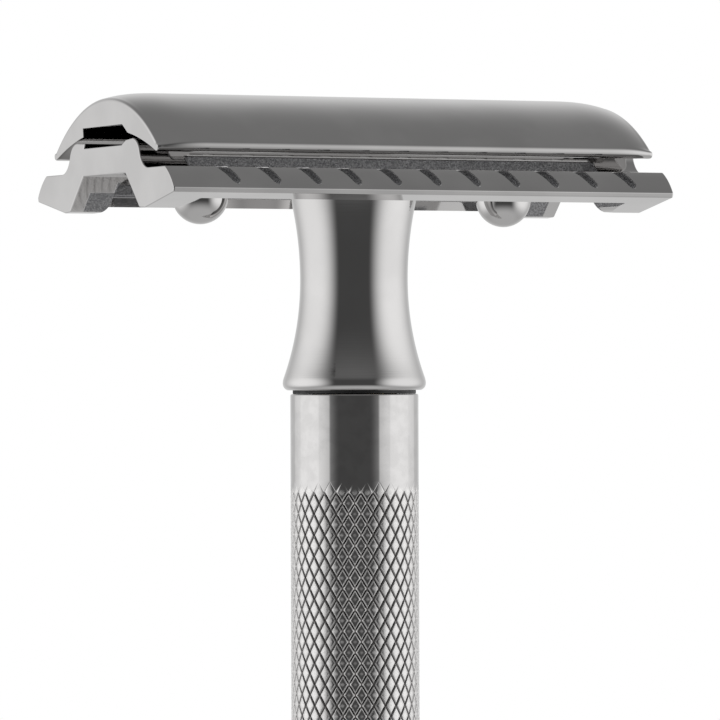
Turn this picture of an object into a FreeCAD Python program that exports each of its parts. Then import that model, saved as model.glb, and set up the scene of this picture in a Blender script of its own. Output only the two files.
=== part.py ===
import FreeCAD, Part
import math
import os
from collections import namedtuple

import Sketcher

# A two-piece double-edge safety razor, standing on its pommel, in millimetres.
# +Z runs up the handle to the cap and X runs along the head. The origin is the middle of the pommel's foot.
# The head's heights count from the flat top of the guard flange, so the head's bodies are placed there.
# The handle turns about Z: its spindle is a nut that draws the stud, and with it the cap, down.

DIMENSIONS = {
    # razor
    "overall_height": 86.0,
    "fit_gap": 0.05,
    # cap: an arched bar with a flat-topped channel below
    "cap_length": 42.0,
    "cap_rise": 6.0,
    "cap_edge_reach": 10.22,
    "cap_edge_rise": 2.05,
    "cap_lip_reach": 9.75,
    "cap_lip_rise": 1.14,
    "cap_lip_round": 0.53,
    "cap_blade_curve": 27.0,
    "cap_front_mouth": 4.36,
    "cap_back_mouth": 4.24,
    "cap_mouth_rise": 2.72,
    "cap_front_roof": 3.31,
    "cap_back_roof": 4.33,
    "cap_channel_rise": 3.4,
    "cap_end_round": 0.35,
    # threaded stud and alignment pins, let into the cap
    "stud_radius": 2.45,
    "stud_tip_depth": 7.6,
    "stud_chamfer": 0.6,
    "stud_root_radius": 1.9,
    "socket_depth": 1.6,
    "pin_spacing": 26.14,
    "pin_radius": 1.0,
    "pin_tip_depth": 2.3,
    "pin_nose": 0.5,
    # base plate: its end outline, half of it, from the middle out and down
    "plate_length": 42.2,
    "recess_front_floor": 3.36,
    "recess_back_floor": 3.98,
    "recess_rise": 1.86,
    "recess_front_mouth": 4.2,
    "recess_back_mouth": 3.8,
    "recess_mouth_rise": 2.22,
    "shoulder_reach": 5.4,
    "shoulder_rise": 2.3,
    "shoulder_round": 1.45,
    "shoulder_wall_reach": 6.78,
    "shoulder_wall_rise": 1.3,
    "shoulder_hollow": 1.75,
    "flange_start": 8.6,
    "flange_edge": 11.6,
    "bar_face": 4.5,
    "bar_reach": 13.3,
    "bar_drop": 1.66,
    "bar_heel_reach": 13.2,
    "bar_heel_drop": 2.0,
    "foot_reach": 7.8,
    "foot_drop": 3.02,
    "foot_inner_reach": 6.75,
    "foot_inner_drop": 2.95,
    "web_reach": 4.1,
    "web_drop": 0.3,
    "bar_round": 0.12,
    "flange_round": 0.3,
    "foot_round": 0.25,
    "plate_end_round": 0.1,
    # base plate: lather slots, the relief between the feet, notches and pin domes
    "slot_half_length": 17.35,
    "slot_inner_reach": 6.83,
    "slot_outer_reach": 9.1,
    "slot_corner": 0.4,
    "relief_half_length": 17.95,
    "relief_reach": 11.2,
    "relief_drop": 1.5,
    "relief_corner": 1.1,
    "relief_foot_round": 0.85,
    "notch_count": 11,
    "notch_pitch": 3.35,
    "notch_first": 16.9,
    "notch_wall": 2.0,
    "notch_top_width": 1.2,
    "notch_top_round": 0.75,
    "notch_top_reach": 10.9,
    "notch_foot_width": 0.6,
    "notch_foot_round": 0.36,
    "notch_foot_reach": 13.4,
    "notch_fall": 1.35,
    "notch_shift": 1.4,
    "dome_radius": 2.18,
    "dome_drop": 4.0,
    "pin_hole_radius": 1.2,
    "pin_hole_drop": 2.8,
    "stud_hole_radius": 2.75,
    "spigot_radius": 3.75,
    "spigot_drop": 1.3,
    # neck: waisted tube with a chamber at its top and a bush and a washer at its foot
    "neck_top_radius": 5.32,
    "waist_radius": 4.19,
    "waist_drop": 8.2,
    "neck_lip_radius": 5.69,
    "neck_lip_drop": 16.35,
    "neck_foot_radius": 5.3,
    "neck_foot_drop": 16.8,
    "neck_lip_round": 0.45,
    "bush_drop": 12.4,
    "bush_radius": 4.0,
    "washer_radius": 4.8,
    "washer_top_drop": 16.3,
    # spindle and what holds it in the neck
    "spindle_radius": 3.3,
    "spindle_top_drop": 2.0,
    "spindle_foot_drop": 31.0,
    "thread_bore_radius": 2.5,
    "thread_bore_drop": 14.0,
    "ring_groove_radius": 2.95,
    "ring_top_drop": 2.8,
    "ring_thickness": 0.6,
    "ring_outer_radius": 3.65,
    "ring_gap_angle": 40.0,
    "backing_thickness": 0.4,
    "wave_strip": 0.2,
    "wave_height": 0.2,
    # handle and pommel
    "handle_top_drop": 17.1,
    "handle_radius": 4.99,
    "handle_round": 0.3,
    "pommel_height": 6.0,
    "pommel_round": 0.5,
    "pommel_groove_width": 0.4,
    "pommel_groove_depth": 0.35,
    "pommel_spigot": 4.0,
}

Corner = namedtuple("Corner", "x y bend", defaults=(0.0,))


class Size:
    """A value and the sheet formula behind it, so that sums of sizes stay bound to the sheet."""

    def __init__(self, value, formula):
        self.value = value
        self.formula = formula

    def joined(self, sign, other, value):
        return Size(value, "(%s %s %s)" % (self.formula, sign, formula_of(other)))

    def __add__(self, other):
        return self.joined("+", other, self.value + value_of(other))

    def __sub__(self, other):
        return self.joined("-", other, self.value - value_of(other))

    def __mul__(self, other):
        return self.joined("*", other, self.value * value_of(other))

    def __truediv__(self, other):
        return self.joined("/", other, self.value / value_of(other))

    def __neg__(self):
        return Size(-self.value, "(-1 * %s)" % self.formula)


def value_of(size):
    return size.value if isinstance(size, Size) else size


def formula_of(size):
    return size.formula if isinstance(size, Size) else str(size)


def write_sheet(document):
    """The driving dimensions, one row each: the name in column A and the aliased value in column B."""
    sheet = document.addObject("Spreadsheet::Sheet", "Dims")
    for row, (alias, value) in enumerate(DIMENSIONS.items(), start=1):
        sheet.set("A%d" % row, alias)
        sheet.set("B%d" % row, str(value))
        sheet.setAlias("B%d" % row, alias)
    document.recompute()


def dim(alias):
    return Size(DIMENSIONS[alias], "Dims." + alias)


doc = FreeCAD.newDocument("SafetyRazor")
write_sheet(doc)

ZERO = Size(0.0, "0")
FLANGE_HEIGHT = dim("overall_height") - dim("cap_rise")
PIN_REACH = dim("pin_spacing") / 2
NEAR = 0.05
SEWING_TOLERANCE = 1e-6


# ---------------------------------------------------------------- drawing and feature helpers

def new_body(name, height=FLANGE_HEIGHT):
    """A body with its datum at the given height on the razor's axis."""
    body = doc.addObject("PartDesign::Body", name)
    body.Label = name
    body.setExpression("Placement.Base.z", formula_of(height))
    return body


def origin_feature(body, role):
    return next(feature for feature in body.Origin.OriginFeatures if feature.Role == role)


def new_sketch(body, name, plane, offset=0.0):
    """An empty sketch on one of the body's origin planes, moved along the plane's normal."""
    sketch = body.newObject("Sketcher::SketchObject", name)
    sketch.AttachmentSupport = [(origin_feature(body, plane), "")]
    sketch.MapMode = "FlatFace"
    sketch.setExpression("AttachmentOffset.Base.z", formula_of(offset))
    return sketch


def pin_point(sketch, geometry, point, x, y):
    """Hold a sketch point at x, y. A plain zero puts it on the axis."""
    for kind, axis, place in (("DistanceX", -2, x), ("DistanceY", -1, y)):
        if isinstance(place, Size):
            held = Sketcher.Constraint(kind, -1, 1, geometry, point, place.value)
            index = sketch.addConstraint(held)
            sketch.setExpression("Constraints[%d]" % index, place.formula)
        else:
            sketch.addConstraint(Sketcher.Constraint("PointOnObject", geometry, point, axis))


def hold_radius(sketch, geometry, radius):
    index = sketch.addConstraint(Sketcher.Constraint("Radius", geometry, radius.value))
    sketch.setExpression("Constraints[%d]" % index, radius.formula)


def arc_between(start, end, bend):
    """The short arc from start to end: a positive bend puts its centre on the left, a negative on the right."""
    chord = end - start
    side = math.copysign(1.0, bend)
    reach = math.sqrt(bend ** 2 - (chord.Length / 2) ** 2)
    normal = FreeCAD.Vector(-chord.y, chord.x, 0).normalize()
    centre = (start + end) / 2 + normal * (side * reach)
    circle = Part.Circle(centre, FreeCAD.Vector(0, 0, 1), abs(bend))
    first, last = (start, end) if bend > 0 else (end, start)
    return Part.ArcOfCircle(circle, circle.parameter(first), circle.parameter(last))


def draw_outline(sketch, corners):
    """A closed outline, counterclockwise. A corner's bend is the radius of the edge that leaves it:
    positive for a round edge, negative for a hollow one, zero for a straight one."""
    points = [FreeCAD.Vector(value_of(corner.x), value_of(corner.y), 0) for corner in corners]
    edges = []
    for index, corner in enumerate(corners):
        start, end = points[index], points[(index + 1) % len(points)]
        bend = value_of(corner.bend)
        if bend:
            geometry = sketch.addGeometry(arc_between(start, end, bend))
            radius = corner.bend if bend > 0 else -corner.bend
            hold_radius(sketch, geometry, radius)
        else:
            geometry = sketch.addGeometry(Part.LineSegment(start, end))
        first, last = (1, 2) if bend >= 0 else (2, 1)
        edges.append((geometry, first, last))
    for index, corner in enumerate(corners):
        geometry, first, _ = edges[index]
        previous, _, last = edges[index - 1]
        sketch.addConstraint(Sketcher.Constraint("Coincident", previous, last, geometry, first))
        pin_point(sketch, geometry, first, corner.x, corner.y)


def mirrored(right_half):
    """The mirror image of a counterclockwise right half in the sketch's y axis, to follow a right half."""
    left_half = []
    for index in reversed(range(len(right_half))):
        corner = right_half[index]
        bend = right_half[index - 1].bend if index else 0.0
        left_half.append(Corner(-corner.x, corner.y, bend))
    return left_half


def both_sides(right_half):
    return right_half + mirrored(right_half)


def draw_circle(sketch, radius, x=0.0, y=0.0):
    centre = FreeCAD.Vector(value_of(x), value_of(y), 0)
    geometry = sketch.addGeometry(Part.Circle(centre, FreeCAD.Vector(0, 0, 1), radius.value))
    hold_radius(sketch, geometry, radius)
    pin_point(sketch, geometry, 3, x, y)


def extrude(body, kind, name, sketch, length, symmetric=False, reverse=False):
    """A Pad or a Pocket of the sketch, by a length."""
    feature = body.newObject("PartDesign::" + kind, name)
    feature.Profile = sketch
    feature.SideType = "Symmetric" if symmetric else "One side"
    feature.Reversed = reverse
    feature.setExpression("Length", formula_of(length))
    doc.recompute()
    return feature


def cut_through(body, name, sketch):
    """A Pocket right through the body, both ways from the sketch."""
    pocket = body.newObject("PartDesign::Pocket", name)
    pocket.Profile = sketch
    pocket.Type = "ThroughAll"
    pocket.SideType = "Symmetric"
    doc.recompute()
    return pocket


def revolve(body, name, corners):
    """A turned solid about the body's Z axis, from an outline in (radius, height)."""
    sketch = new_sketch(body, name + "_outline", "XZ_Plane")
    draw_outline(sketch, corners)
    turned = body.newObject("PartDesign::Revolution", name)
    turned.Profile = sketch
    turned.ReferenceAxis = (origin_feature(body, "Z_Axis"), [""])
    turned.Angle = 360
    doc.recompute()
    return turned


def round_edges(body, name, base, radius, chosen):
    """Fillet the base's edges for which chosen(edge) is true."""
    edges = base.Shape.Edges
    picked = ["Edge%d" % (index + 1) for index, edge in enumerate(edges) if chosen(edge)]
    fillet = body.newObject("PartDesign::Fillet", name)
    fillet.Base = (base, picked)
    fillet.setExpression("Radius", formula_of(radius))
    doc.recompute()
    return fillet


def runs_along_x(edge):
    ends = [vertex.Point for vertex in edge.Vertexes]
    return len(ends) == 2 and abs(ends[0].x - ends[1].x) > edge.Length - NEAR


def passes_near(edge, across, height):
    """True where the edge's middle is at this distance from the XZ plane and this height."""
    middle = edge.CenterOfMass
    return abs(abs(middle.y) - across.value) < NEAR and abs(middle.z - height.value) < NEAR


# ---------------------------------------------------------------- the cap and what is let into it

def cap_arch():
    """The radius of the arch that spans the cap's edges and peaks at the cap's rise."""
    reach = dim("cap_edge_reach")
    rise = dim("cap_rise") - dim("cap_edge_rise")
    return (reach * reach + rise * rise) / (rise * 2)


def cap_half(side):
    """Half of the cap's section, from its channel's roof out to the lip and up to the arch's foot."""
    return [
        Corner(dim("cap_%s_roof" % side), dim("cap_channel_rise")),
        Corner(dim("cap_%s_mouth" % side), dim("cap_mouth_rise"), -dim("cap_blade_curve")),
        Corner(dim("cap_lip_reach"), dim("cap_lip_rise"), dim("cap_lip_round")),
        Corner(dim("cap_edge_reach"), dim("cap_edge_rise"), cap_arch()),
    ]


def make_top_cap():
    body = new_body("top_cap")
    outline = new_sketch(body, "cap_outline", "YZ_Plane")
    draw_outline(outline, cap_half("back") + mirrored(cap_half("front")))
    bar = extrude(body, "Pad", "cap_bar", outline, dim("cap_length"), symmetric=True)
    round_edges(body, "cap_ends", bar, dim("cap_end_round"), lambda edge: not runs_along_x(edge))
    cut_sockets(body)
    return body


def cut_sockets(body):
    """Blind sockets in the roof of the cap's channel, for the stud and the two pins."""
    sockets = new_sketch(body, "socket_circles", "XY_Plane", dim("cap_channel_rise"))
    draw_circle(sockets, dim("stud_root_radius"))
    draw_circle(sockets, dim("pin_radius"), x=PIN_REACH)
    draw_circle(sockets, dim("pin_radius"), x=-PIN_REACH)
    extrude(body, "Pocket", "sockets", sockets, dim("socket_depth"), reverse=True)


def make_cap_stud():
    """The stud that the spindle draws down. It is plain where the real one has its thread."""
    body = new_body("cap_stud")
    shank = dim("stud_radius")
    root = dim("stud_root_radius")
    tip = -dim("stud_tip_depth")
    roof = dim("cap_channel_rise")
    revolve(body, "stud", [
        Corner(0.0, tip),
        Corner(shank - dim("stud_chamfer"), tip),
        Corner(shank, tip + dim("stud_chamfer")),
        Corner(shank, roof),
        Corner(root, roof),
        Corner(root, roof + dim("socket_depth")),
        Corner(0.0, roof + dim("socket_depth")),
    ])
    return body


def make_alignment_pin(name, reach):
    """A round-nosed post that keeps the cap square on the base plate."""
    body = new_body(name)
    body.setExpression("Placement.Base.x", formula_of(reach))
    radius = dim("pin_radius")
    nose = dim("pin_nose")
    tip = -dim("pin_tip_depth")
    top = dim("cap_channel_rise") + dim("socket_depth")
    revolve(body, "post", [
        Corner(0.0, tip),
        Corner(radius - nose, tip, nose),
        Corner(radius, tip + nose),
        Corner(radius, top),
        Corner(0.0, top),
    ])
    return body


# ---------------------------------------------------------------- the base plate

def plate_half(side):
    """Half of the plate's section, from the web's underside out round the guard bar and back to the recess."""
    return [
        Corner(dim("web_reach"), -dim("web_drop")),
        Corner(dim("foot_inner_reach"), -dim("foot_inner_drop")),
        Corner(dim("foot_reach"), -dim("foot_drop")),
        Corner(dim("bar_heel_reach"), -dim("bar_heel_drop")),
        Corner(dim("bar_reach"), -dim("bar_drop"), dim("bar_face")),
        Corner(dim("flange_edge"), 0.0),
        Corner(dim("flange_start"), 0.0, -dim("shoulder_hollow")),
        Corner(dim("shoulder_wall_reach"), dim("shoulder_wall_rise"), dim("shoulder_round")),
        Corner(dim("shoulder_reach"), dim("shoulder_rise")),
        Corner(dim("recess_%s_mouth" % side), dim("recess_mouth_rise")),
        Corner(dim("recess_%s_floor" % side), dim("recess_rise")),
    ]


def make_base_plate():
    body = new_body("base_plate")
    outline = new_sketch(body, "plate_outline", "YZ_Plane")
    draw_outline(outline, plate_half("back") + mirrored(plate_half("front")))
    bar = extrude(body, "Pad", "plate_bar", outline, dim("plate_length"), symmetric=True)
    round_plate_edges(body, bar)
    cut_lather_slots(body)
    cut_relief(body, "bar_relief", dim("relief_drop"), dim("relief_reach"))
    cut_relief(body, "web_relief", dim("web_drop"), dim("slot_inner_reach"))
    for side in (-1.0, 1.0):
        cut_notches(body, side)
    add_domes(body)
    add_spigot(body)
    cut_plate_holes(body)
    return body


def round_plate_edges(body, bar):
    """Small rounds along the flange's edge, the guard bar's tip and the feet, and round both ends."""
    rounds = [
        ("flange_rounds", dim("flange_round"), [(dim("flange_edge"), ZERO)]),
        ("bar_rounds", dim("bar_round"), [(dim("bar_reach"), -dim("bar_drop")),
                                          (dim("bar_heel_reach"), -dim("bar_heel_drop"))]),
        ("foot_rounds", dim("foot_round"), [(dim("foot_reach"), -dim("foot_drop")),
                                            (dim("foot_inner_reach"), -dim("foot_inner_drop"))]),
    ]
    for name, radius, corners in rounds:
        bar = round_edges(body, name, bar, radius, lambda edge: runs_along_x(edge) and any(
            passes_near(edge, reach, height) for reach, height in corners))
    round_edges(body, "plate_ends", bar, dim("plate_end_round"), lambda edge: not runs_along_x(edge))


def rectangle(low_x, high_x, low_y, high_y):
    return [Corner(low_x, low_y), Corner(high_x, low_y), Corner(high_x, high_y), Corner(low_x, high_y)]


def rounded_rectangle(low_x, high_x, low_y, high_y, bend):
    return [
        Corner(low_x + bend, low_y), Corner(high_x - bend, low_y, bend),
        Corner(high_x, low_y + bend), Corner(high_x, high_y - bend, bend),
        Corner(high_x - bend, high_y), Corner(low_x + bend, high_y, bend),
        Corner(low_x, high_y - bend), Corner(low_x, low_y + bend, bend),
    ]


def cut_lather_slots(body):
    """Two long slots right through the plate, between the web and the guard bars."""
    slots = new_sketch(body, "slot_outlines", "XY_Plane")
    end = dim("slot_half_length")
    inner = dim("slot_inner_reach")
    outer = dim("slot_outer_reach")
    draw_outline(slots, rounded_rectangle(-end, end, inner, outer, dim("slot_corner")))
    draw_outline(slots, rounded_rectangle(-end, end, -outer, -inner, dim("slot_corner")))
    cut_through(body, "lather_slots", slots)


def cut_relief(body, name, drop, reach):
    """Hollow the underside between the end feet, up to a drop below the flange, out to a reach in Y."""
    end = dim("relief_half_length")
    corner = dim("relief_corner")
    foot = -dim("foot_drop")
    curl = dim("relief_foot_round")
    outline = new_sketch(body, name + "_outline", "XZ_Plane")
    draw_outline(outline, both_sides([
        Corner(end + curl, foot - curl),
        Corner(end + curl, foot, -curl),
        Corner(end, foot + curl),
        Corner(end, -(drop + corner), corner),
        Corner(end - corner, -drop),
    ]))
    extrude(body, "Pocket", name, outline, reach * 2, symmetric=True)


def notch_section(body, name, reach, middle, drop, width, bend):
    """A section of a notch, in a plane at this reach in Y: a hollow floor with straight walls above it."""
    section = new_sketch(body, name, "XZ_Plane", reach)
    half = dim(width) / 2
    draw_outline(section, [
        Corner(middle - half, -drop, dim(bend)),
        Corner(middle + half, -drop),
        Corner(middle + half, dim("notch_wall")),
        Corner(middle - half, dim("notch_wall")),
    ])
    return section


def cut_notches(body, side):
    """A row of slanted, hollow notches down a guard bar's face. Each narrows and runs out above the bar's tip.
    side is -1 for the front bar and +1 for the back one, which is the front turned half a turn about Z."""
    name = "front_notch" if side < 0 else "back_notch"
    middle = dim("notch_first") * side
    notch = body.newObject("PartDesign::SubtractiveLoft", name)
    notch.Profile = notch_section(body, name + "_top", dim("notch_top_reach") * -side, middle, ZERO,
                                  "notch_top_width", "notch_top_round")
    notch.Sections = [notch_section(body, name + "_foot", dim("notch_foot_reach") * -side,
                                    middle - dim("notch_shift") * side, dim("notch_fall"),
                                    "notch_foot_width", "notch_foot_round")]
    notch.Ruled = True
    doc.recompute()
    row = body.newObject("PartDesign::LinearPattern", name + "_row")
    row.Originals = [notch]
    row.Direction = (origin_feature(body, "X_Axis"), [""])
    row.Reversed = side > 0
    row.Mode = "Spacing"
    row.setExpression("Offset", formula_of(dim("notch_pitch")))
    row.setExpression("Occurrences", "Dims.notch_count")
    body.Tip = row
    doc.recompute()


def add_domes(body):
    """Two polished domes under the web. They close the pins' sockets."""
    radius = dim("dome_radius")
    low = -dim("dome_drop")
    outline = new_sketch(body, "dome_outline", "XZ_Plane")
    outline.setExpression("AttachmentOffset.Base.x", formula_of(PIN_REACH))
    draw_outline(outline, [
        Corner(0.0, low, radius),
        Corner(radius, low + radius),
        Corner(radius, 0.0),
        Corner(0.0, 0.0),
    ])
    dome = body.newObject("PartDesign::Revolution", "dome")
    dome.Profile = outline
    dome.ReferenceAxis = (outline, ["V_Axis"])
    dome.Angle = 360
    doc.recompute()
    pair = body.newObject("PartDesign::Mirrored", "dome_pair")
    pair.Originals = [dome]
    pair.MirrorPlane = (origin_feature(body, "YZ_Plane"), [""])
    body.Tip = pair
    doc.recompute()


def add_spigot(body):
    """The short spigot that locates the neck."""
    circle = new_sketch(body, "spigot_circle", "XY_Plane")
    draw_circle(circle, dim("spigot_radius"))
    extrude(body, "Pad", "spigot", circle, dim("spigot_drop"), reverse=True)


def cut_plate_holes(body):
    """The stud's clearance hole through the web, and the pins' blind sockets down into the domes."""
    stud_circle = new_sketch(body, "stud_circle", "XY_Plane")
    draw_circle(stud_circle, dim("stud_hole_radius"))
    cut_through(body, "stud_hole", stud_circle)
    pin_circles = new_sketch(body, "pin_circles", "XY_Plane", dim("recess_rise"))
    for reach in (PIN_REACH, -PIN_REACH):
        draw_circle(pin_circles, dim("pin_hole_radius"), x=reach)
    extrude(body, "Pocket", "pin_sockets", pin_circles, dim("recess_rise") + dim("pin_hole_drop"))


# ---------------------------------------------------------------- the neck and the rings in it

BORE_RADIUS = dim("spindle_radius") + dim("fit_gap") * 2
RING_FOOT_DROP = dim("ring_top_drop") + dim("ring_thickness")
WAVE_TOP_DROP = RING_FOOT_DROP + dim("fit_gap")
WAVE_FOOT_DROP = WAVE_TOP_DROP + dim("wave_strip") + dim("wave_height")
CHAMBER_DROP = WAVE_FOOT_DROP + dim("backing_thickness")


def waist_bend(radius, drop):
    """The radius of the hollow arc that leaves the waist straight up or down and ends at this radius and drop."""
    spread = radius - dim("waist_radius")
    climb = drop - dim("waist_drop")
    return -((spread * spread + climb * climb) / (spread * 2))


def make_neck():
    body = new_body("neck")
    lip_radius = dim("neck_lip_radius")
    lip_drop = dim("neck_lip_drop")
    top_radius = dim("neck_top_radius")
    top_drop = dim("web_drop")
    revolve(body, "neck_turning", [
        Corner(dim("washer_radius"), -dim("neck_foot_drop")),
        Corner(dim("neck_foot_radius"), -dim("neck_foot_drop"), dim("neck_lip_round")),
        Corner(lip_radius, -lip_drop, waist_bend(lip_radius, lip_drop)),
        Corner(dim("waist_radius"), -dim("waist_drop"), waist_bend(top_radius, top_drop)),
        Corner(top_radius, -top_drop),
        Corner(dim("spigot_radius"), -top_drop),
        Corner(dim("spigot_radius"), -CHAMBER_DROP),
        Corner(BORE_RADIUS, -CHAMBER_DROP),
        Corner(BORE_RADIUS, -dim("bush_drop")),
        Corner(dim("bush_radius"), -dim("bush_drop")),
        Corner(dim("bush_radius"), -dim("washer_top_drop")),
        Corner(dim("washer_radius"), -dim("washer_top_drop")),
    ])
    return body


def make_ring(name, inner, outer, top_drop, foot_drop):
    """A plain ring about the razor's axis, between two drops below the flange."""
    cylinders = []
    for part, radius in (("_outside", outer), ("_hole", inner)):
        cylinder = doc.addObject("Part::Cylinder", name + part)
        cylinder.setExpression("Radius", formula_of(radius))
        cylinder.setExpression("Height", formula_of(foot_drop - top_drop))
        cylinders.append(cylinder)
    ring = doc.addObject("Part::Cut", name)
    ring.Label = name
    ring.Base, ring.Tool = cylinders
    ring.setExpression("Placement.Base.z", formula_of(FLANGE_HEIGHT - foot_drop))
    return ring


def make_neck_bush():
    return make_ring("neck_bush", dim("spindle_radius") + dim("fit_gap"), dim("bush_radius"),
                     dim("bush_drop"), dim("washer_top_drop"))


def make_thrust_washer():
    """The dark ring that shows in the gap between the neck and the handle."""
    return make_ring("thrust_washer", BORE_RADIUS, dim("washer_radius"),
                     dim("washer_top_drop"), dim("handle_top_drop") - dim("fit_gap"))


def make_backing_washer():
    return make_ring("backing_washer", BORE_RADIUS, dim("spigot_radius") - dim("fit_gap"),
                     WAVE_FOOT_DROP, CHAMBER_DROP)


def wave_edge(radius, height, lift, waves=3, samples=48):
    """A closed curve of the given radius that rises and falls through a number of waves in one turn."""
    points = []
    for index in range(samples):
        angle = 2 * math.pi * index / samples
        rise = height + lift * (1 + math.sin(waves * angle)) / 2
        points.append(FreeCAD.Vector(radius * math.cos(angle), radius * math.sin(angle), rise))
    curve = Part.BSplineCurve()
    curve.interpolate(points, PeriodicFlag=True)
    return curve.toShape()


def make_wave_washer():
    """A waved spring washer: four ruled faces between its inner and outer edges."""
    inner = BORE_RADIUS.value
    outer = (dim("spigot_radius") - dim("fit_gap") * 2).value
    lift = dim("wave_height").value
    strip = dim("wave_strip").value
    low_inner, low_outer = wave_edge(inner, 0.0, lift), wave_edge(outer, 0.0, lift)
    top_inner, top_outer = wave_edge(inner, strip, lift), wave_edge(outer, strip, lift)
    pairs = [(low_inner, low_outer), (low_outer, top_outer), (top_outer, top_inner), (top_inner, low_inner)]
    shell = Part.Shell([Part.makeRuledSurface(first, second) for first, second in pairs])
    shell.sewShape()
    solid = Part.Solid(shell)
    solid.fix(SEWING_TOLERANCE, SEWING_TOLERANCE, SEWING_TOLERANCE)
    washer = doc.addObject("Part::Feature", "wave_washer")
    washer.Label = "wave_washer"
    washer.Shape = solid
    washer.setExpression("Placement.Base.z", formula_of(FLANGE_HEIGHT - WAVE_FOOT_DROP))
    return washer


# ---------------------------------------------------------------- the spindle, the handle and the pommel

def make_spindle():
    """The shaft that turns in the neck. Its bore is plain where the real one is threaded for the stud."""
    body = new_body("spindle")
    radius = dim("spindle_radius")
    bore = dim("thread_bore_radius")
    groove = dim("ring_groove_radius")
    revolve(body, "spindle_turning", [
        Corner(0.0, -dim("spindle_foot_drop")),
        Corner(radius, -dim("spindle_foot_drop")),
        Corner(radius, -RING_FOOT_DROP),
        Corner(groove, -RING_FOOT_DROP),
        Corner(groove, -dim("ring_top_drop")),
        Corner(radius, -dim("ring_top_drop")),
        Corner(radius, -dim("spindle_top_drop")),
        Corner(bore, -dim("spindle_top_drop")),
        Corner(bore, -dim("thread_bore_drop")),
        Corner(0.0, -(dim("thread_bore_drop") + bore / 2)),
    ])
    return body


def make_retaining_ring():
    """An open snap ring in the spindle's groove."""
    body = new_body("retaining_ring")
    inner = dim("ring_groove_radius")
    outer = dim("ring_outer_radius")
    foot = -RING_FOOT_DROP
    top = -dim("ring_top_drop")
    section = new_sketch(body, "ring_section", "XZ_Plane")
    draw_outline(section, rectangle(inner, outer, foot, top))
    ring = body.newObject("PartDesign::Revolution", "snap_ring")
    ring.Profile = section
    ring.ReferenceAxis = (origin_feature(body, "Z_Axis"), [""])
    ring.setExpression("Angle", "360 - Dims.ring_gap_angle")
    return body


def make_handle_sleeve():
    """The handle's tube. Its whole grip has the collar's diameter, to the tops of the knurl."""
    body = new_body("handle_sleeve", ZERO)
    radius = dim("handle_radius")
    bore = dim("spindle_radius")
    edge = dim("handle_round")
    foot = dim("pommel_height")
    top = FLANGE_HEIGHT - dim("handle_top_drop")
    revolve(body, "sleeve_turning", [
        Corner(bore, foot),
        Corner(radius - edge, foot, edge),
        Corner(radius, foot + edge),
        Corner(radius, top - edge, edge),
        Corner(radius - edge, top),
        Corner(bore, top),
    ])
    return body


def make_core_rod():
    """The solid core between the spindle and the pommel."""
    rod = doc.addObject("Part::Cylinder", "core_rod")
    rod.Label = "core_rod"
    foot = dim("pommel_height") + dim("pommel_spigot")
    rod.setExpression("Radius", formula_of(dim("spindle_radius") - dim("fit_gap")))
    rod.setExpression("Height", formula_of(FLANGE_HEIGHT - dim("spindle_foot_drop") - foot))
    rod.setExpression("Placement.Base.z", formula_of(foot))
    return rod


def make_pommel():
    """The end cap, with a spigot up into the sleeve and a fine groove at the joint."""
    body = new_body("pommel", ZERO)
    radius = dim("handle_radius")
    edge = dim("pommel_round")
    top = dim("pommel_height")
    neck = radius - dim("pommel_groove_depth")
    groove_foot = top - dim("pommel_groove_width")
    spigot = dim("spindle_radius")
    revolve(body, "pommel_turning", [
        Corner(0.0, 0.0),
        Corner(radius - edge, 0.0, edge),
        Corner(radius, edge),
        Corner(radius, groove_foot),
        Corner(neck, groove_foot),
        Corner(neck, top),
        Corner(spigot, top),
        Corner(spigot, top + dim("pommel_spigot")),
        Corner(0.0, top + dim("pommel_spigot")),
    ])
    return body


# ---------------------------------------------------------------- checks and files

def check_document():
    for item in doc.Objects:
        if {"Invalid", "Error"} & set(item.State):
            raise RuntimeError("%s failed: %s" % (item.Name, item.State))


def export(sub_parts):
    os.makedirs("parts", exist_ok=True)
    for part in sub_parts:
        shape = part.Shape
        if shape.isNull() or not shape.isValid() or len(shape.Solids) != 1:
            raise RuntimeError("%s is not one valid solid" % part.Label)
        shape.exportStep("parts/%s.step" % part.Label)
        print("%-20s %9.2f mm3" % (part.Label, shape.Volume))


sub_parts = [
    make_top_cap(),
    make_cap_stud(),
    make_alignment_pin("alignment_pin_left", -PIN_REACH),
    make_alignment_pin("alignment_pin_right", PIN_REACH),
    make_base_plate(),
    make_neck(),
    make_neck_bush(),
    make_thrust_washer(),
    make_backing_washer(),
    make_wave_washer(),
    make_spindle(),
    make_retaining_ring(),
    make_handle_sleeve(),
    make_core_rod(),
    make_pommel(),
]
doc.recompute()
check_document()
export(sub_parts)
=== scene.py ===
import math

import bmesh
import bpy
from mathutils import Matrix, Vector


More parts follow.
